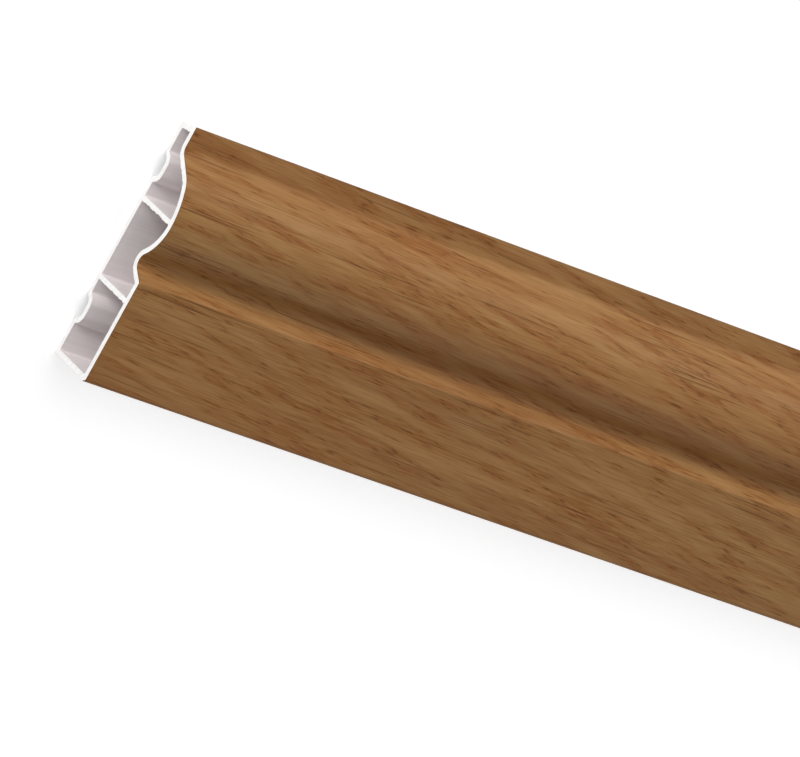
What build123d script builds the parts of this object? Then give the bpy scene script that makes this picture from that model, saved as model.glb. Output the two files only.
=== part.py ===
from build123d import *
import os
from math import acos, atan, cos, degrees, radians, sin, tan

# Ogee architrave moulding: one length of hollow white uPVC extrusion, with a woodgrain
# foil laminated over its face. It lies on its back, as it is stored on a level floor.
# +X runs along the length, +Y points from the thick outer edge to the thin inner edge,
# +Z is up, out of the face. The origin is the middle of the underside.
# All lengths are in millimetres and all angles in degrees.

stock_length = 2500

# Width of the white body, and the heights of its face above the back
body_width = 59.8
flat_height = 14.4
cove_height = 10.4
crest_height = 14.8
land_height = 5.6
land_width = 4.8

# Face curves, in order from the thick edge to the thin edge
face_edge_radius = 0.8
arris_radius = 0.3
quirk_slope = 58
cove_radius = 2.4
rise_radius = 12.0
fall_radius = 18.8
fall_turn = 27
shoulder_radius = 6.6
flank_slope = 54
foot_radius = 2.2

# Thin edge, back corners and the two grooves of the back
thin_edge_undercut = 12
back_edge_radius = 0.6
groove_inset = 12
groove_mouth = 8.5
groove_crest = 2.0
groove_depth = 2.0

# Walls round the chambers
wall = 1.2
web_thickness = 1.0
chamber_count = 3
chamber_corner_radius = 0.4

foil_thickness = 0.2

outward = Vector(1, 0)
inward = Vector(-1, 0)


def arc_drop(radius, angle):
    # height between a level tangent and the point where an arc has turned by an angle
    return radius * (1 - cos(radians(angle)))


def arc_reach(radius, angle):
    # level distance over the same stretch of arc
    return radius * sin(radians(angle))


def ray(start, heading, length):
    # a straight stretch that carries on where a curve ended
    return Line(start, start + heading * length)


# The cove and the rise to the crest join where both have turned through one angle.
rise_turn = degrees(acos(1 - (crest_height - cove_height) / (rise_radius + cove_radius)))

quirk_climb = flat_height - cove_height - arc_drop(cove_radius + arris_radius, quirk_slope)
quirk_length = quirk_climb / sin(radians(quirk_slope))

shoulder_drop = arc_drop(shoulder_radius, flank_slope) - arc_drop(shoulder_radius, fall_turn)
shoulder_reach = arc_reach(shoulder_radius, flank_slope) - arc_reach(shoulder_radius, fall_turn)
curves_drop = arc_drop(fall_radius, fall_turn) + shoulder_drop + arc_drop(foot_radius, flank_slope)
flank_drop = crest_height - land_height - curves_drop
flank_length = flank_drop / sin(radians(flank_slope))
curves_reach = arc_reach(fall_radius, fall_turn) + shoulder_reach + arc_reach(foot_radius, flank_slope)
flank_reach = flank_length * cos(radians(flank_slope))
crest_offset = body_width - land_width - curves_reach - flank_reach


def face_line(outset):
    # the face as a chain of tangent curves, pushed out from the body by outset
    crest = Vector(crest_offset, crest_height + outset)
    rise = JernArc(crest, inward, rise_radius + outset, rise_turn)
    cove = JernArc(rise @ 1, rise % 1, cove_radius - outset, -rise_turn - quirk_slope)
    quirk = ray(cove @ 1, cove % 1, quirk_length)
    arris = JernArc(quirk @ 1, quirk % 1, arris_radius + outset, quirk_slope)
    flat = Line(arris @ 1, Vector(face_edge_radius, flat_height + outset))
    edge = JernArc(flat @ 1, inward, face_edge_radius + outset, 90)
    fall = JernArc(crest, outward, fall_radius + outset, -fall_turn)
    shoulder = JernArc(fall @ 1, fall % 1, shoulder_radius + outset, fall_turn - flank_slope)
    flank = ray(shoulder @ 1, shoulder % 1, flank_length)
    foot = JernArc(flank @ 1, flank % 1, foot_radius - outset, flank_slope)
    land = Line(foot @ 1, Vector(body_width, land_height + outset))
    return [edge, flat, arris, quirk, cove, rise, fall, shoulder, flank, foot, land]


def groove_line(centre):
    # one groove, walked inward: two S-shaped flanks and a level crest between them
    flank_width = (groove_mouth - groove_crest) / 2
    turn = 2 * degrees(atan(groove_depth / flank_width))
    radius = flank_width / 2 / sin(radians(turn))
    mouth = Vector(centre + groove_mouth / 2, 0)
    lead_in = JernArc(mouth, inward, radius, -turn)
    climb = JernArc(lead_in @ 1, lead_in % 1, radius, turn)
    crest = ray(climb @ 1, inward, groove_crest)
    descent = JernArc(crest @ 1, inward, radius, turn)
    lead_out = JernArc(descent @ 1, descent % 1, radius, -turn)
    return [lead_in, climb, crest, descent, lead_out]


def back_line(thin_corner, thick_corner):
    # the underside, walked inward from the thin edge: three level seats and two grooves
    first = groove_line(body_width - groove_inset)
    second = groove_line(groove_inset)
    seats = [
        Line(thin_corner, first[0] @ 0),
        Line(first[-1] @ 1, second[0] @ 0),
        Line(second[-1] @ 1, thick_corner),
    ]
    return first + second + seats


def body_face():
    # the solid outline of the extrusion, before its chambers are taken out
    face = face_line(0)
    land_end = Vector(body_width, land_height)
    thin_corner = Vector(body_width - land_height * tan(radians(thin_edge_undercut)), 0)
    thick_corner = Vector(0, 0)
    sides = [Line(land_end, thin_corner), Line(thick_corner, face[0] @ 1)]
    outline = make_face(face + sides + back_line(thin_corner, thick_corner))
    floor_corners = outline.vertices().group_by(Axis.Y)[0].sort_by(Axis.X)
    return fillet([floor_corners[0], floor_corners[-1]], back_edge_radius)


def rounded(face, radius):
    # rounds the outward corners of a face: drawn in by the radius, then let out again
    return offset(offset(face, -radius), radius)


def chamber_faces(body):
    # the room inside the wall, parted by webs at equal steps across the width
    room = offset(body, -wall)
    step = body_width / chamber_count
    webs = [
        Pos(step * n, crest_height / 2) * Rectangle(web_thickness, 2 * crest_height)
        for n in range(1, chamber_count)
    ]
    chambers = (room - webs).faces()
    return [rounded(chamber, chamber_corner_radius) for chamber in chambers]


def foil_face():
    # the laminate, from the thick edge's rounded corner to the thin edge
    outer = face_line(foil_thickness)
    inner = face_line(0)
    ends = [
        Line(outer[0] @ 1, inner[0] @ 1),
        Line(outer[-1] @ 1, inner[-1] @ 1),
    ]
    return make_face(outer + inner + ends)


def stock(section):
    # runs a section along the length, centred over the origin
    middle = Pos(-stock_length / 2, (foil_thickness - body_width) / 2, 0)
    return middle * extrude(Plane.YZ * section, stock_length)


os.makedirs("parts", exist_ok=True)

body = body_face()
profile = stock(body - chamber_faces(body))
foil = stock(foil_face())

export_step(profile, "parts/upvc_profile.step")
export_step(foil, "parts/woodgrain_foil.step")
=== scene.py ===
import math

import bmesh
import bpy
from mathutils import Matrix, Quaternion, Vector, noise


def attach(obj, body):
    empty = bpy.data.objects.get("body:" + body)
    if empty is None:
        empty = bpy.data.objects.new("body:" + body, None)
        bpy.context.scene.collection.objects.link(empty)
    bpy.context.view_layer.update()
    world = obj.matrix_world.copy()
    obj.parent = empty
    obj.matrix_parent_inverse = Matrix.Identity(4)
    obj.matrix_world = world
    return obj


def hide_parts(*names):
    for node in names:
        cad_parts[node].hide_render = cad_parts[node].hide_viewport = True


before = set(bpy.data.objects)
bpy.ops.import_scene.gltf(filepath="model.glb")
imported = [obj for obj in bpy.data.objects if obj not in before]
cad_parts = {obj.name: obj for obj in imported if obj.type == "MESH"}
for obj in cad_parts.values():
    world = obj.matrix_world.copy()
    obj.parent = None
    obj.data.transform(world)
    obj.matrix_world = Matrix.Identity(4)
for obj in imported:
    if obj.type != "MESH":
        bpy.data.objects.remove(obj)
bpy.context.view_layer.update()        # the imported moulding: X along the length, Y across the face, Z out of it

mm = 0.001
near = 0.01 * mm         # points closer than this are taken for the same place
weld = 0.004 * mm        # points closer than this become one where a section closes
bendStep = 4             # degrees that a bend turns in one step
fewestSteps = 4          # a bend has at least this many steps, however little it turns

# The white extrusion, seen on its end: y runs from its thick edge to its thin edge, z up from
# the back. Lengths are in mm and angles in degrees.
profileSizes = {
    "length": 2500,
    "width": 59.8,
    "flatHeight": 14.4,
    "coveHeight": 10.4,
    "crestHeight": 14.8,
    "landHeight": 5.6,
    "landWidth": 4.8,
    "faceEdgeRadius": 0.8,
    "arrisRadius": 0.3,
    "quirkSlope": 58,
    "coveRadius": 2.4,
    "riseRadius": 12.0,
    "fallRadius": 18.8,
    "fallTurn": 27,
    "shoulderRadius": 6.6,
    "flankSlope": 54,
    "footRadius": 2.2,
    "thinEdgeUndercut": 12,
    "backEdgeRadius": 0.6,
    "grooveInset": 12,
    "grooveMouth": 8.5,
    "grooveCrest": 2.0,
    "grooveDepth": 2.0,
    "wall": 1.2,
    "web": 1.0,
    "chambers": 3,         # chamberWalks is drawn for three
    "chamberCorner": 0.4,
    "smoothBelow": 28,     # edges that turn by less than this are shaded smooth
}

# The printed film over the face
foilSizes = {
    "thickness": 0.2,
    "smoothBelow": 40,
}

# Where the film lies on its square baked map, in shares of the map's side
mapLayout = {
    "rows": 6,             # the long strip is cut into this many rows, one above the other
    "rowsTop": 0.93,
    "rowMargin": 0.03,     # room at each side of a row, as a share of the row
    "backFrom": 0.935,     # the side that is bonded down is one thin row
    "backHeight": 0.02,
    "rimFrom": 0.96,       # the cut edges are four thinner rows
    "rimStep": 0.01,
    "rimHeight": 0.007,
    "sideMargin": 0.01,
    "endMargin": 0.005,
}

# Ragged lips that the saw left round the chambers, with lengths in mm
burrSizes = {
    "reach": 0.42,         # scales how far the lips hang; the longest comes to about 0.55
    "root": 0.5,           # how far behind the cut a lip starts
    "overshoot": 0.1,      # how much longer than the body a chamber's core is
    "step": 0.3,           # spacing of the points along the cut edges
    "flake": 0.65,         # usual width of one flake along the edge
    "usual": 0.45,         # share of the reach that a lip has where the noise is nought
    "entryShare": 0.16,    # share of the reach that is left where the saw went in
    "fineShare": 0.5,      # strength of the fine raggedness on each flake
    "fineness": 2.6,       # how many times narrower it is than a flake
    "fineShift": 7,        # takes it from another place in the noise
}


def sine(angle):
    return math.sin(math.radians(angle))


def cosine(angle):
    return math.cos(math.radians(angle))


def tangent(angle):
    return math.tan(math.radians(angle))


def deselectAll():
    bpy.ops.object.select_all(action="DESELECT")


def selectEdges(piece, wanted):
    # selects the edges of the piece in edit mode that pass a test of their place
    mesh = bmesh.from_edit_mesh(piece.data)
    bpy.ops.mesh.select_mode(type="EDGE")
    bpy.ops.mesh.select_all(action="DESELECT")
    for edge in mesh.edges:
        if wanted(edge):
            edge.select_set(True)
    mesh.select_flush_mode()
    bmesh.update_edit_mesh(piece.data)


# Drawing a section: a strip as long as the moulding is carried on edge by edge, straight or
# in bends. The pen keeps the strip, the point it has come to, its heading and the way travelled.

def toFrame(y, z):
    # a point of the section, in mm from the body's thick edge, as a point of the frame
    offset = (foilSizes["thickness"] - profileSizes["width"]) / 2
    return Vector((0, (y + offset) * mm, z * mm))


def ahead(point, heading, length):
    # the point of the section that lies this far along a heading
    return (point[0] + cosine(heading) * length, point[1] + sine(heading) * length)


def startStrip(name, start, heading, length, cuts, overshoot=0):
    # the first straight, as a plane along the whole moulding, with cuts across it
    deselectAll()
    middle = toFrame(*ahead(start, heading, length / 2))
    turned = (math.radians(heading), 0, 0)
    bpy.ops.mesh.primitive_plane_add(size=1, location=middle, rotation=turned)
    strip = bpy.context.object
    strip.name = name
    strip.scale = ((profileSizes["length"] + 2 * overshoot) * mm, length * mm, 1)
    bpy.ops.object.transform_apply(location=True, rotation=True, scale=True)
    bpy.ops.object.mode_set(mode="EDIT")
    for cut in cuts:
        bpy.ops.mesh.select_all(action="SELECT")
        bpy.ops.mesh.bisect(plane_co=(cut, 0, 0), plane_no=(1, 0, 0))
    end = ahead(start, heading, length)
    return {
        "piece": strip,
        "at": end,
        "heading": heading,
        "travelled": length,
        "rings": [(start, 0.0, heading), (end, length, heading)],
    }


def pickEdgeAt(pen, point):
    # takes up the long edge that lies at a point of the section
    place = toFrame(*point)

    def lies(edge):
        return all(math.hypot(v.co.y - place.y, v.co.z - place.z) < near for v in edge.verts)

    selectEdges(pen["piece"], lies)


def straight(pen, length, step=None):
    # carries the edge on along its heading, at once or in steps of about the given size
    steps = max(1, round(length / step)) if step else 1
    for _ in range(steps):
        last = pen["at"]
        pen["at"] = ahead(last, pen["heading"], length / steps)
        pen["travelled"] += length / steps
        move = toFrame(*pen["at"]) - toFrame(*last)
        bpy.ops.mesh.extrude_region_move(TRANSFORM_OT_translate={"value": move})
        pen["rings"].append((pen["at"], pen["travelled"], pen["heading"]))


def bend(pen, radius, turn, step=None):
    # an arc that carries on the last heading, to the left where the turn is positive
    if radius == 0:
        pen["heading"] += turn
        return
    side = pen["heading"] + math.copysign(90, turn)
    centre = ahead(pen["at"], side, radius)
    arcLength = math.radians(abs(turn)) * radius
    arcSteps = round(arcLength / step) if step else 0
    steps = max(fewestSteps, round(abs(turn) / bendStep), arcSteps)
    middle = toFrame(*centre)
    bpy.ops.mesh.spin(steps=steps, angle=-math.radians(turn), center=middle, axis=(1, 0, 0))
    for n in range(1, steps + 1):
        share = n / steps
        point = ahead(centre, side + 180 + turn * share, radius)
        travelled = pen["travelled"] + arcLength * share
        pen["rings"].append((point, travelled, pen["heading"] + turn * share))
    pen["at"] = pen["rings"][-1][0]
    pen["travelled"] += arcLength
    pen["heading"] += turn


def follow(pen, walk, step=None):
    for move in walk:
        if len(move) == 1:
            straight(pen, move[0], step)
        else:
            bend(pen, move[0], move[1], step)


# The walks round the section. A one-number move is a straight, a pair is a bend's radius and
# turn. Depth is how far inside the bare face the line runs, so it is negative for the film.

def riseTurn():
    s = profileSizes
    height = s["crestHeight"] - s["coveHeight"]
    return math.degrees(math.acos(1 - height / (s["riseRadius"] + s["coveRadius"])))


def crestPlace():
    # y of the crest, worked back from the land
    s = profileSizes
    flank = flankLength()
    reach = s["fallRadius"] * sine(s["fallTurn"])
    reach += s["shoulderRadius"] * (sine(s["flankSlope"]) - sine(s["fallTurn"]))
    reach += flank * cosine(s["flankSlope"]) + s["footRadius"] * sine(s["flankSlope"])
    return s["width"] - s["landWidth"] - reach


def flankLength():
    s = profileSizes
    drop = s["fallRadius"] * (1 - cosine(s["fallTurn"]))
    drop += s["shoulderRadius"] * (cosine(s["fallTurn"]) - cosine(s["flankSlope"]))
    drop += s["footRadius"] * (1 - cosine(s["flankSlope"]))
    return (s["crestHeight"] - s["landHeight"] - drop) / sine(s["flankSlope"])


def quirkLength(depth, arris):
    s = profileSizes
    coveCentre = s["coveHeight"] + s["coveRadius"]
    low = coveCentre - (s["coveRadius"] + depth) * cosine(s["quirkSlope"])
    high = s["flatHeight"] - depth - arris * (1 - cosine(s["quirkSlope"]))
    return (high - low) / sine(s["quirkSlope"])


def flatEnd(depth, arris):
    # y where the flat turns down into the quirk
    s = profileSizes
    coveCentre = crestPlace() - (s["riseRadius"] + s["coveRadius"]) * sine(riseTurn())
    reach = (s["coveRadius"] + depth + arris) * sine(s["quirkSlope"])
    return coveCentre - reach - quirkLength(depth, arris) * cosine(s["quirkSlope"])


def ogeeToCrest(depth, arris, spared=0):
    # from the flat down the quirk, round the cove and up to the crest, less a spared turn
    s = profileSizes
    return [
        (arris, -s["quirkSlope"]),
        (quirkLength(depth, arris),),
        (s["coveRadius"] + depth, s["quirkSlope"] + riseTurn()),
        (s["riseRadius"] - depth, -riseTurn() + spared),
    ]


def ogeeToLand(depth, spared=0):
    # from the crest, less a spared turn, over the shoulder and down the flank to the land
    s = profileSizes
    return [
        (s["fallRadius"] - depth, -s["fallTurn"] + spared),
        (s["shoulderRadius"] - depth, s["fallTurn"] - s["flankSlope"]),
        (flankLength(),),
        (s["footRadius"] + depth, s["flankSlope"]),
    ]


def thinEdge(depth, topCorner, lowCorner):
    # the land, its corner, the undercut edge and the seat behind it, as far as the first groove
    s = profileSizes
    lean = s["thinEdgeUndercut"]
    slide = depth / cosine(lean)
    topY = s["width"] - depth * tangent(lean) - slide
    lowY = s["width"] - (s["landHeight"] - depth) * tangent(lean) - slide
    height = s["landHeight"] - 2 * depth
    topLead = topCorner * tangent((90 + lean) / 2)
    lowLead = lowCorner * tangent((90 - lean) / 2)
    return [
        (topY - topLead - (s["width"] - s["landWidth"]),),
        (topCorner, -90 - lean),
        (height / cosine(lean) - topLead - lowLead,),
        (lowCorner, -90 + lean),
        (lowY - lowLead - (s["width"] - s["grooveInset"] + s["grooveMouth"] / 2),),
    ]


def groove(depth):
    # an S-shaped flank up, the level crest, and the same flank down
    s = profileSizes
    flank = (s["grooveMouth"] - s["grooveCrest"]) / 2
    turn = 2 * math.degrees(math.atan(s["grooveDepth"] / flank))
    radius = flank / 2 / sine(turn)
    return [
        (radius - depth, -turn),
        (radius + depth, turn),
        (s["grooveCrest"],),
        (radius + depth, turn),
        (radius - depth, -turn),
    ]


def bodyWalk():
    # all round the outside, from the end of the flat back to its start
    s = profileSizes
    seat = s["grooveInset"] - s["grooveMouth"] / 2
    return (
        ogeeToCrest(0, s["arrisRadius"])
        + ogeeToLand(0)
        + thinEdge(0, 0, s["backEdgeRadius"])
        + groove(0)
        + [(s["width"] - 2 * s["grooveInset"] - s["grooveMouth"],)]
        + groove(0)
        + [
            (seat - s["backEdgeRadius"],),
            (s["backEdgeRadius"], -90),
            (s["flatHeight"] - s["backEdgeRadius"] - s["faceEdgeRadius"],),
            (s["faceEdgeRadius"], -90),
        ]
    )


def webFace(number, side):
    # y of a web's face, side -1 towards the thick edge and 1 towards the thin edge
    s = profileSizes
    return s["width"] / s["chambers"] * number + side * s["web"] / 2


def chamberWalks():
    # name, start, heading and moves of each chamber; the first move of each is a straight
    s = profileSizes
    wall, corner = s["wall"], s["chamberCorner"]
    ceiling = s["flatHeight"] - wall
    height = ceiling - wall - 2 * corner
    round90 = (corner, -90)
    mouth = s["grooveMouth"] / 2

    thickWidth = webFace(1, -1) - wall - 2 * corner
    thick = [
        (thickWidth,), round90, (height,), round90,
        (webFace(1, -1) - corner - s["grooveInset"] - mouth,),
        *groove(wall),
        (s["grooveInset"] - mouth - wall - corner,), round90, (height,), round90,
    ]

    crest = crestPlace()
    riseInside = s["riseRadius"] - wall - corner
    crestZ = s["crestHeight"] - s["riseRadius"]
    lean = math.degrees(math.asin((webFace(2, -1) - corner - crest) / riseInside))
    riseTop = crestZ + riseInside * cosine(lean)
    middleStart = webFace(1, 1) + corner
    middle = [
        (flatEnd(wall, corner) - middleStart,),
        *ogeeToCrest(wall, corner, spared=-lean),
        (corner, -90 + lean),
        (riseTop - wall - corner,),
        round90,
        (webFace(2, -1) - corner - middleStart,),
        round90, (height,), round90,
    ]

    fallInside = s["fallRadius"] - wall - corner
    fallZ = s["crestHeight"] - s["fallRadius"]
    tilt = math.degrees(math.asin((webFace(2, 1) + corner - crest) / fallInside))
    fallTop = fallZ + fallInside * cosine(tilt)
    thin = [
        (fallTop - wall - corner,),
        (corner, -90 - tilt),
        *ogeeToLand(wall, spared=tilt),
        *thinEdge(wall, corner, corner),
        *groove(wall),
        (s["width"] - s["grooveInset"] - mouth - webFace(2, 1) - corner,),
        round90,
    ]
    return [
        ("thickChamber", (wall + corner, ceiling), 0, thick),
        ("middleChamber", (middleStart, ceiling), 0, middle),
        ("thinChamber", (webFace(2, 1), wall + corner), 90, thin),
    ]


def ringOf(pen, place):
    # the drawn point that a vertex lies on: its place, the way travelled to it and the heading
    def away(ring):
        point = toFrame(*ring[0])
        return (point.y - place.y) ** 2 + (point.z - place.z) ** 2

    return min(pen["rings"], key=away)


def closeRound(pen):
    # the last edge has come back to the first: they become one, and both ends are capped
    bpy.ops.mesh.select_all(action="SELECT")
    bpy.ops.mesh.remove_doubles(threshold=weld)
    piece = pen["piece"]
    furthest = max(v.co.x for v in bmesh.from_edit_mesh(piece.data).verts)
    for end in (-furthest, furthest):
        selectEdges(piece, lambda edge: all(abs(v.co.x - end) < near for v in edge.verts))
        bpy.ops.mesh.edge_face_add()
    bpy.ops.mesh.select_all(action="SELECT")
    bpy.ops.mesh.normals_make_consistent(inside=False)
    bpy.ops.object.mode_set(mode="OBJECT")


def raggedEnds(pen):
    # moves the points of both ends into the opening, most where the saw came out
    sizes = burrSizes
    half = profileSizes["length"] / 2 * mm
    fineness, least = sizes["fineness"], sizes["entryShare"]
    for vertex in pen["piece"].data.vertices:
        if abs(vertex.co.x) < half:
            continue
        heading = ringOf(pen, vertex.co)[2]
        inward = Vector((0, sine(heading), -cosine(heading)))
        spot = vertex.co / mm
        flakes = spot / sizes["flake"]
        flake = noise.noise(Vector((spot.x, flakes.y, flakes.z)))
        shifted = spot.x + sizes["fineShift"]
        fine = noise.noise(Vector((shifted, flakes.y * fineness, flakes.z * fineness)))
        exposed = least + (1 - least) * max(0, -inward.y) ** 2
        hang = max(0, sizes["usual"] + flake + sizes["fineShare"] * fine)
        vertex.co += inward * sizes["reach"] * exposed * hang * mm


def sawnFace(polygon):
    return abs(polygon.normal.x) > 0.9


def makeProfile():
    print("Extruding the white body")
    s = profileSizes
    flatStart = (s["faceEdgeRadius"], s["flatHeight"])
    flatWidth = flatEnd(0, s["arrisRadius"]) - s["faceEdgeRadius"]
    pen = startStrip("upvcProfile", flatStart, 0, flatWidth, [])
    pickEdgeAt(pen, pen["at"])
    follow(pen, bodyWalk())
    closeRound(pen)
    profile = pen["piece"]
    for name, start, heading, walk in chamberWalks():
        print("  hollowing out the", name)
        hollowOut(profile, makeCore(name, start, heading, walk))
    profile.data.materials.append(extrudedUpvc())
    profile.data.materials.append(sawnUpvc())
    for polygon in profile.data.polygons:
        polygon.material_index = 1 if sawnFace(polygon) else 0
    bpy.ops.object.shade_smooth_by_angle(angle=math.radians(s["smoothBelow"]))
    return profile


def makeCore(name, start, heading, walk):
    # the shape of a chamber, a little longer than the body, with ragged ends
    step = burrSizes["step"]
    rootPlace = (profileSizes["length"] / 2 - burrSizes["root"]) * mm
    cuts = [-rootPlace, rootPlace]
    pen = startStrip(name, start, heading, step, cuts, burrSizes["overshoot"])
    pickEdgeAt(pen, pen["at"])
    follow(pen, [(walk[0][0] - step,)] + walk[1:], step)
    closeRound(pen)
    raggedEnds(pen)
    bpy.ops.object.mode_set(mode="EDIT")
    bpy.ops.mesh.select_all(action="SELECT")
    # the ragged faces aren't flat, and triangles cut cleanly
    bpy.ops.mesh.quads_convert_to_tris()
    bpy.ops.object.mode_set(mode="OBJECT")
    return pen["piece"]


def hollowOut(profile, core):
    deselectAll()
    bpy.context.view_layer.objects.active = profile
    profile.select_set(True)
    cut = profile.modifiers.new("chamber", "BOOLEAN")
    cut.operation = "DIFFERENCE"
    cut.solver = "EXACT"
    cut.object = core
    bpy.ops.object.modifier_apply(modifier=cut.name)
    bpy.data.objects.remove(core)


def makeFilm():
    print("Laying the printed film over the face")
    s = profileSizes
    thickness = foilSizes["thickness"]
    length = s["length"] * mm
    rows = mapLayout["rows"]
    rowEnds = [-length / 2 + length * n / rows for n in range(1, rows)]
    start = (s["faceEdgeRadius"], s["flatHeight"] + thickness)
    arris = s["arrisRadius"] + thickness
    flatWidth = flatEnd(-thickness, arris) - start[0]
    pen = startStrip("woodgrainFoil", start, 0, flatWidth, rowEnds)
    pickEdgeAt(pen, pen["at"])
    follow(pen, ogeeToCrest(-thickness, arris) + ogeeToLand(-thickness) + [(s["landWidth"],)])

    # the rounded thick edge is drawn the other way, so the way travelled to it is negative
    back = dict(pen, at=start, heading=180, travelled=0, rings=[])
    pickEdgeAt(back, start)
    bend(back, s["faceEdgeRadius"] + thickness, 90)
    for point, travelled, heading in back["rings"]:
        pen["rings"].append((point, -travelled, heading))

    bpy.ops.mesh.select_all(action="SELECT")
    bpy.ops.mesh.normals_make_consistent(inside=False)
    film = pen["piece"]
    bpy.ops.object.mode_set(mode="OBJECT")
    if film.data.polygons[0].normal.z < 0:
        film.data.flip_normals()
    places = [ringOf(pen, vertex.co)[1] * mm for vertex in film.data.vertices]
    sheetFaces = len(film.data.polygons)

    film.data.materials.append(oakFoil())
    film.data.materials.append(foilCutEdge())
    solid = film.modifiers.new("filmThickness", "SOLIDIFY")
    solid.thickness = thickness * mm
    solid.offset = -1
    solid.use_even_offset = True
    solid.material_offset_rim = 1
    bpy.ops.object.modifier_apply(modifier=solid.name)
    bpy.ops.object.shade_smooth_by_angle(angle=math.radians(foilSizes["smoothBelow"]))
    layOutFilm(film, places, sheetFaces)
    return film


def layOutFilm(film, places, sheetFaces):
    # two maps: the film unrolled at its real size, and its rows stacked on one square
    mesh = film.data
    sheetPoints = len(places)
    low, high = min(places), max(places)
    length = profileSizes["length"] * mm
    rowLength = length / mapLayout["rows"]
    sideMargin, endMargin = mapLayout["sideMargin"], mapLayout["endMargin"]
    print("  film is", round((high - low) / mm, 2), "mm across its curves")
    while mesh.uv_layers:
        mesh.uv_layers.remove(mesh.uv_layers[0])
    unrolled = mesh.uv_layers.new(name="Unrolled")
    stacked = mesh.uv_layers.new(name="OFBake")
    for polygon in mesh.polygons:
        xs = [mesh.vertices[v].co.x for v in polygon.vertices]
        row = int((sum(xs) / len(xs) + length / 2) / rowLength)
        for loop, v, x in zip(polygon.loop_indices, polygon.vertices, xs):
            across = places[v % sheetPoints] - low
            share = across / (high - low)
            along = x + length / 2
            if polygon.index < sheetFaces:
                spot = rowSpot(row, along / rowLength - row, share)
            elif polygon.index < 2 * sheetFaces:
                spot = (along / length, mapLayout["backFrom"] + mapLayout["backHeight"] * share)
            else:
                spot = rimSpot(polygon, along / length, share, v < sheetPoints)
            unrolled.data[loop].uv = (x, across)
            stacked.data[loop].uv = (
                sideMargin + (1 - 2 * sideMargin) * spot[0],
                endMargin + (1 - 2 * endMargin) * spot[1],
            )


def rowSpot(row, along, share):
    margin = mapLayout["rowMargin"]
    up = (row + margin + (1 - 2 * margin) * share) / mapLayout["rows"]
    return along, up * mapLayout["rowsTop"]


def rimSpot(polygon, along, share, outside):
    # each of the four cut edges has a narrow row of its own above the rest
    if sawnFace(polygon):
        number = 0 if polygon.normal.x < 0 else 1
        place = share
    else:
        number = 2 if share < 0.5 else 3
        place = along
    up = mapLayout["rimFrom"] + mapLayout["rimStep"] * number
    return place, up + (mapLayout["rimHeight"] if outside else 0)


def linear(colour):
    # an sRGB hex colour as the linear values that a shader takes
    values = [int(colour[n:n + 2], 16) / 255 for n in (1, 3, 5)]
    return tuple(v / 12.92 if v <= 0.04045 else ((v + 0.055) / 1.055) ** 2.4 for v in values) + (1,)


def addNode(tree, kind, settings=None, **inputs):
    # a node with its properties set, and its inputs linked or given a value. Inputs go by their
    # name, or as i0, i1 and so on by their number.
    node = tree.nodes.new(kind)
    for name, value in (settings or {}).items():
        setattr(node, name, value)
    for name, value in inputs.items():
        numbered = name[0] == "i" and name[1:].isdigit()
        socket = node.inputs[int(name[1:]) if numbered else name]
        if isinstance(value, bpy.types.NodeSocket):
            tree.links.new(value, socket)
        else:
            socket.default_value = value
    return node


def newMaterial(name):
    material = bpy.data.materials.new(name)
    material.use_nodes = True
    tree = material.node_tree
    tree.nodes.clear()
    return material, tree


def finishMaterial(tree, shader):
    output = addNode(tree, "ShaderNodeOutputMaterial")
    tree.links.new(shader, output.inputs["Surface"])


def grain(tree, place, size, tilt, detail=2.0, roughness=0.5):
    # noise drawn out along the wood: a usual streak is length by width in mm, turned by tilt
    turned = addNode(tree, "ShaderNodeMapping", {"vector_type": "TEXTURE"}, Vector=place,
                     Rotation=(0, 0, math.radians(tilt)), Scale=(*size, 1))
    return addNode(tree, "ShaderNodeTexNoise", {"noise_dimensions": "2D"}, Vector=turned.outputs[0],
                   Scale=1.0, Detail=detail, Roughness=roughness).outputs[0]


def spread(tree, value, low, high, toLow=0.0, toHigh=1.0):
    # takes the values from low to high, with a soft start and end, to a new range
    return addNode(tree, "ShaderNodeMapRange", {"interpolation_type": "SMOOTHSTEP"}, Value=value,
                   i1=low, i2=high, i3=toLow, i4=toHigh).outputs[0]


def maths(tree, operation, first, second):
    node = addNode(tree, "ShaderNodeMath", {"operation": operation}, i0=first, i1=second)
    return node.outputs[0]


def tint(tree, share, under, over):
    # lays one colour over another by a share
    node = addNode(tree, "ShaderNodeMix", {"data_type": "RGBA"}, i0=share, i6=under, i7=over)
    return node.outputs[2]


foilLook = {
    "pale": "#977042",
    "deep": "#8A6339",
    "warm": "#905C30",
    "smudge": "#703D09",
    "pore": "#502A02",
    "light": "#C89F6B",
    "core": "#4A2E17",
    "tilt": -1.6,          # drift of the fine lines off the length, in degrees
    "smudgeTilt": -9.0,    # slant of the lens-shaped smudges
    "roughness": 0.55,
    "specular": 0.15,
    "coreRoughness": 0.6,
    "coreSpecular": 0.2,
    # length and width of a usual streak of each kind, in mm
    "toneSize": (150, 6),
    "patchSize": (180, 22),
    "bandSize": (40, 3.0),
    "blotSize": (11, 1.2),
    "hairSize": (12, 0.36),
    "dashSize": (5, 0.5),
    "crackSize": (45, 0.5),
    # how strongly each kind shows, from 0 to 1
    "patchShare": 0.4,
    "haloShare": 0.45,
    "darkHairShare": 0.32,
    "lightHairShare": 0.15,
    "paleBandShare": 0.12,
    "smudgeShare": 0.37,
    "poreShare": 0.56,
    "crackShare": 0.6,
    "reliefStrength": 0.3,
    "reliefDepth": 0.03,   # in mm
}


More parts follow.
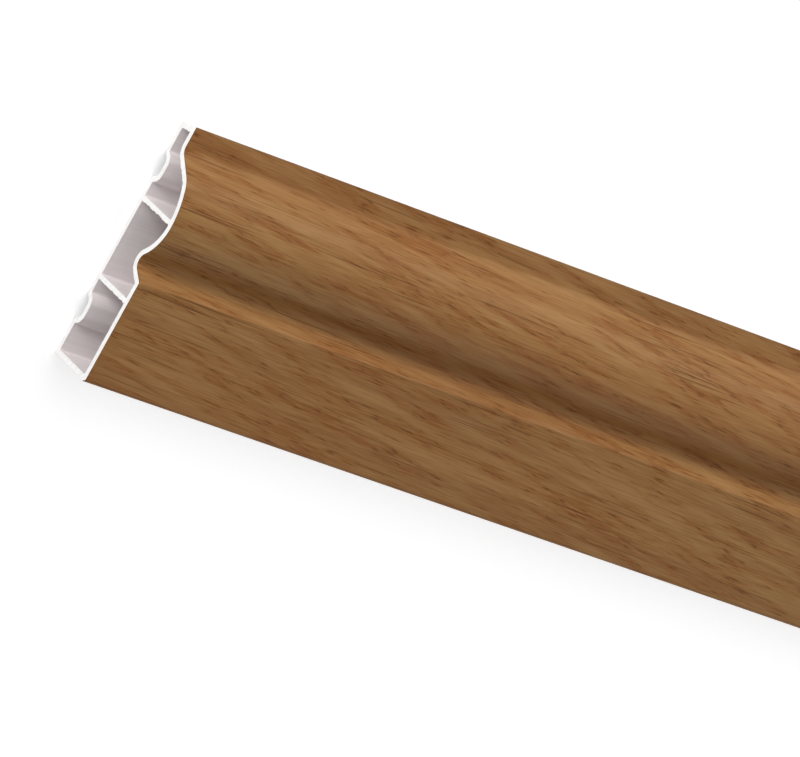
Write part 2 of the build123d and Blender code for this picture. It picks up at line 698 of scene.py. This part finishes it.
def oakFoil():
    # printed oak on embossed PVC film: a soft, low print of streaks and smudges, satin, never
    # glossy. Most of the noise lies between 0.3 and 0.7, and each spread picks its part of that.
    look = foilLook
    material, tree = newMaterial("printedOakFilm")
    metres = addNode(tree, "ShaderNodeUVMap", {"uv_map": "Unrolled"}).outputs[0]
    toMm = addNode(tree, "ShaderNodeVectorMath", {"operation": "SCALE"}, i0=metres, Scale=1 / mm)
    place = toMm.outputs[0]
    tilt, slant = look["tilt"], look["smudgeTilt"]

    tone = spread(tree, grain(tree, place, look["toneSize"], tilt - 2, detail=2), 0.32, 0.68)
    colour = tint(tree, tone, linear(look["deep"]), linear(look["pale"]))
    hairs = grain(tree, place, look["hairSize"], tilt, detail=3, roughness=0.62)
    bands = grain(tree, place, look["bandSize"], slant + 1, detail=2)
    blots = grain(tree, place, look["blotSize"], slant, detail=3)
    bandPart = maths(tree, "MULTIPLY", bands, 0.4)
    streaks = maths(tree, "ADD", bandPart, maths(tree, "MULTIPLY", blots, 0.4))
    mixed = maths(tree, "ADD", streaks, maths(tree, "MULTIPLY", hairs, 0.2))
    patchNoise = grain(tree, place, look["patchSize"], tilt, detail=1)
    patches = spread(tree, patchNoise, 0.35, 0.65, 0.0, look["patchShare"])
    colour = tint(tree, patches, colour, linear(look["warm"]))
    halos = spread(tree, mixed, 0.46, 0.60, 0.0, look["haloShare"])
    colour = tint(tree, halos, colour, linear(look["warm"]))

    darkHairs = spread(tree, hairs, 0.46, 0.74, 0.0, look["darkHairShare"])
    lightHairs = spread(tree, hairs, 0.50, 0.26, 0.0, look["lightHairShare"])
    paleBands = spread(tree, bands, 0.50, 0.30, 0.0, look["paleBandShare"])
    colour = tint(tree, darkHairs, colour, linear(look["smudge"]))
    colour = tint(tree, lightHairs, colour, linear(look["light"]))
    colour = tint(tree, paleBands, colour, linear(look["light"]))

    smudges = spread(tree, mixed, 0.51, 0.64)
    smudgePart = maths(tree, "MULTIPLY", smudges, look["smudgeShare"])
    colour = tint(tree, smudgePart, colour, linear(look["smudge"]))
    dashes = spread(tree, grain(tree, place, look["dashSize"], slant + 2, detail=2), 0.57, 0.69)
    gather = spread(tree, mixed, 0.47, 0.59, 0.08, 1.0)      # pores crowd where a smudge is
    pores = maths(tree, "MULTIPLY", dashes, gather)
    porePart = maths(tree, "MULTIPLY", pores, look["poreShare"])
    colour = tint(tree, porePart, colour, linear(look["pore"]))
    cracks = spread(tree, grain(tree, place, look["crackSize"], tilt, detail=1), 0.70, 0.77)
    crackPart = maths(tree, "MULTIPLY", cracks, look["crackShare"])
    colour = tint(tree, crackPart, colour, linear(look["pore"]))

    deepest = maths(tree, "ADD", pores, cracks)
    dents = maths(tree, "ADD", deepest, maths(tree, "MULTIPLY", hairs, 0.6))
    relief = addNode(tree, "ShaderNodeBump", {"invert": True}, Height=dents,
                     Strength=look["reliefStrength"], Distance=look["reliefDepth"] * mm)
    shader = addNode(tree, "ShaderNodeBsdfPrincipled", Normal=relief.outputs[0],
                     Roughness=look["roughness"])
    tree.links.new(colour, shader.inputs["Base Color"])
    shader.inputs["Specular IOR Level"].default_value = look["specular"]
    finishMaterial(tree, shader.outputs[0])
    return material


def foilCutEdge():
    # the film's own thickness, cut through with the body: a darker brown than its print
    look = foilLook
    material, tree = newMaterial("filmCutEdge")
    shader = addNode(tree, "ShaderNodeBsdfPrincipled", Roughness=look["coreRoughness"])
    shader.inputs["Base Color"].default_value = linear(look["core"])
    shader.inputs["Specular IOR Level"].default_value = look["coreSpecular"]
    finishMaterial(tree, shader.outputs[0])
    return material


upvcLook = {
    "skin": "#F3ECEC",
    "dieLine": "#EFE7E7",
    "sawn": "#F6F5F3",
    "toothMark": "#ECEAE8",
    "ior": 1.53,
    "skinRoughness": 0.32,
    "sawnRoughness": 0.62,
    "dieLineLength": 400,     # in mm, as all sizes here are
    "dieLineWidth": 0.35,
    "dieLineStrength": 0.05,
    "dieLineDepth": 0.02,
    "toothLength": 14,
    "toothWidth": 0.30,
    "toothSlant": 24,         # degrees that the saw's marks lean
    "toothStrength": 0.35,
    "toothDepth": 0.05,
}


def extrudedUpvc():
    # rigid white PVC from the die: bright, satin, with faint lines drawn along the length
    look = upvcLook
    material, tree = newMaterial("extrudedUpvc")
    place = addNode(tree, "ShaderNodeTexCoord").outputs["Object"]
    length, width = look["dieLineLength"] * mm, look["dieLineWidth"] * mm
    lines = addNode(tree, "ShaderNodeMapping", {"vector_type": "TEXTURE"}, Vector=place,
                    Scale=(length, width, width)).outputs[0]
    dieLines = addNode(tree, "ShaderNodeTexNoise", Vector=lines, Scale=1.0, Detail=2.0).outputs[0]
    relief = addNode(tree, "ShaderNodeBump", Height=dieLines, Strength=look["dieLineStrength"],
                     Distance=look["dieLineDepth"] * mm).outputs[0]
    shown = spread(tree, dieLines, 0.3, 0.7)
    colour = tint(tree, shown, linear(look["skin"]), linear(look["dieLine"]))
    shader = addNode(tree, "ShaderNodeBsdfPrincipled", Normal=relief,
                     Roughness=look["skinRoughness"])
    tree.links.new(colour, shader.inputs["Base Color"])
    shader.inputs["IOR"].default_value = look["ior"]
    finishMaterial(tree, shader.outputs[0])
    return material


def sawnUpvc():
    # the same PVC where the saw went through: matt, whitened, with fine slanting tooth marks
    look = upvcLook
    material, tree = newMaterial("sawnUpvc")
    place = addNode(tree, "ShaderNodeTexCoord").outputs["Object"]
    marks = addNode(tree, "ShaderNodeMapping", {"vector_type": "TEXTURE"}, Vector=place,
                    Rotation=(math.radians(look["toothSlant"]), 0, 0),
                    Scale=(1, look["toothLength"] * mm, look["toothWidth"] * mm)).outputs[0]
    toothMarks = addNode(tree, "ShaderNodeTexNoise", Vector=marks, Scale=1.0, Detail=3.0).outputs[0]
    relief = addNode(tree, "ShaderNodeBump", Height=toothMarks, Strength=look["toothStrength"],
                     Distance=look["toothDepth"] * mm).outputs[0]
    shown = spread(tree, toothMarks, 0.35, 0.7)
    colour = tint(tree, shown, linear(look["sawn"]), linear(look["toothMark"]))
    shader = addNode(tree, "ShaderNodeBsdfPrincipled", Normal=relief,
                     Roughness=look["sawnRoughness"])
    tree.links.new(colour, shader.inputs["Base Color"])
    shader.inputs["IOR"].default_value = look["ior"]
    finishMaterial(tree, shader.outputs[0])
    return material


# The photographed viewpoint: places in metres, roll in degrees, lens and sensor in mm
cameraView = {
    "place": (-2.51301, 0.4469, 1.64801),
    "aim": (-1.16719, -0.00747, 0.007),
    "roll": 133.5806,
    "lens": 439.65,
    "sensor": 36,
}


def makeCamera():
    print("Setting the camera at the photographed angle")
    view = cameraView
    camera = bpy.data.objects.new("photoCamera", bpy.data.cameras.new("photoCamera"))
    bpy.context.scene.collection.objects.link(camera)
    place = Vector(view["place"])
    look = (Vector(view["aim"]) - place).to_track_quat("-Z", "Y")
    roll = Quaternion((0, 0, 1), math.radians(view["roll"]))
    camera.location = place
    camera.rotation_mode = "QUATERNION"
    camera.rotation_quaternion = look @ roll
    camera.data.lens = view["lens"]
    camera.data.sensor_width = view["sensor"]
    bpy.context.scene.camera = camera


# The soft boxes: power in watts, place, aim and size in metres
lightLook = {
    "sky": 0.255,
    "sideStrip": {
        "power": 1.50,
        "place": (0, 0.15, 0.082),
        "aim": (0, 0.01, 0.01),
        "size": (3.4, 0.05),
    },
    "backFill": {
        "power": 0.95,
        "place": (0, -0.14, 0.265),
        "aim": (0, 0, 0.01),
        "size": (3.4, 0.06),
    },
    "thickEdgeFill": {
        "power": 1.0,
        "place": (0, -0.40, 0.08),
        "aim": (0, -0.03, 0.008),
        "size": (3.4, 0.08),
    },
    "endBox": {
        "power": 71.0,
        "place": (-3.86, 1.41, 0.60),
        "aimHeight": 0.007,
        "size": (1.5, 0.75),
    },
}


def addAreaLight(name, power, place, aim, size):
    # a soft box that lights the object and stays out of the picture
    lamp = bpy.data.lights.new(name, "AREA")
    lamp.shape = "RECTANGLE"
    lamp.size, lamp.size_y = size
    lamp.energy = power
    box = bpy.data.objects.new(name, lamp)
    bpy.context.scene.collection.objects.link(box)
    box.location = place
    box.rotation_euler = (Vector(aim) - Vector(place)).to_track_quat("-Z", "Y").to_euler()
    box.visible_camera = False


def seenDirectly(tree):
    # 1 for what the camera sees straight, in a reflection or through glass, 0 for bounced light
    path = addNode(tree, "ShaderNodeLightPath").outputs
    direct = maths(tree, "MAXIMUM", path["Is Camera Ray"], path["Is Glossy Ray"])
    return maths(tree, "MAXIMUM", direct, path["Is Transmission Ray"])


def makeLights():
    print("Placing the lights")
    look = lightLook
    world = bpy.data.worlds.new("softStudio")
    world.use_nodes = True
    bpy.context.scene.world = world
    tree = world.node_tree
    tree.nodes.clear()
    white = (1, 1, 1, 1)
    sky = addNode(tree, "ShaderNodeBackground", Color=white, Strength=look["sky"]).outputs[0]
    backdrop = addNode(tree, "ShaderNodeBackground", Color=white, Strength=1.0).outputs[0]
    seen = seenDirectly(tree)
    mixed = addNode(tree, "ShaderNodeMixShader", i0=seen, i1=sky, i2=backdrop).outputs[0]
    output = addNode(tree, "ShaderNodeOutputWorld")
    tree.links.new(mixed, output.inputs["Surface"])

    for name in ("sideStrip", "backFill", "thickEdgeFill"):
        addAreaLight(name, **look[name])
    # one box beyond each end, the far one mirrored
    box = look["endBox"]
    x, y, z = box["place"]
    half = profileSizes["length"] / 2 * mm
    for name, side in (("cutEndBox", 1), ("farEndBox", -1)):
        aim = (-half * side, 0, box["aimHeight"])
        addAreaLight(name, box["power"], (x * side, y, z), aim, box["size"])


floorLook = {
    "size": 90.0,
    "sun": 1.0,            # its own light, which nothing else receives
    "sunAngle": 70,        # how wide that light is, and so how soft the shadow
    "sunPlace": (-0.1, 0.5, 1.0),
    "seen": 1.00,          # how much of the light on it the picture shows
    "lift": 0.485,         # what brings the open floor up to white
    "bounce": 0.38,        # how much light it throws back at the object
}


def makeFloor():
    print("Laying the floor")
    look = floorLook
    deselectAll()
    bpy.ops.mesh.primitive_plane_add(size=look["size"], location=(0, 0, 0))
    floor = bpy.context.object
    floor.name = "paleFloor"
    material, tree = newMaterial("paleFloor")
    lit = addNode(tree, "ShaderNodeBsdfDiffuse", Color=(look["seen"],) * 3 + (1,)).outputs[0]
    lift = addNode(tree, "ShaderNodeEmission", Color=(1, 1, 1, 1), Strength=look["lift"]).outputs[0]
    seen = addNode(tree, "ShaderNodeAddShader", i0=lit, i1=lift).outputs[0]
    bounce = addNode(tree, "ShaderNodeBsdfDiffuse", Color=(look["bounce"],) * 3 + (1,)).outputs[0]
    direct = seenDirectly(tree)
    both = addNode(tree, "ShaderNodeMixShader", i0=direct, i1=bounce, i2=seen).outputs[0]
    finishMaterial(tree, both)
    floor.data.materials.append(material)
    lightApart(floor)


def lightApart(floor):
    # the near lamps would fall off across the floor, so an even, wide light takes their place
    look = floorLook
    flagged = bpy.data.collections.new("flaggedFloor")
    flagged.objects.link(floor)
    flagged.collection_objects[0].light_linking.link_state = "EXCLUDE"
    for lamp in [o for o in bpy.data.objects if o.type == "LIGHT"]:
        lamp.light_linking.receiver_collection = flagged

    sun = bpy.data.objects.new("floorSun", bpy.data.lights.new("floorSun", "SUN"))
    bpy.context.scene.collection.objects.link(sun)
    sun.rotation_euler = (-Vector(look["sunPlace"])).to_track_quat("-Z", "Y").to_euler()
    sun.data.energy = look["sun"]
    sun.data.angle = math.radians(look["sunAngle"])
    litFloor = bpy.data.collections.new("litFloor")
    litFloor.objects.link(floor)
    sun.light_linking.receiver_collection = litFloor


makeCamera()
profile = makeProfile()
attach(profile, "root")
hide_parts("upvc_profile")

film = makeFilm()
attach(film, "root")
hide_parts("woodgrain_foil")

makeLights()
makeFloor()
bpy.context.scene.view_settings.view_transform = "Standard"
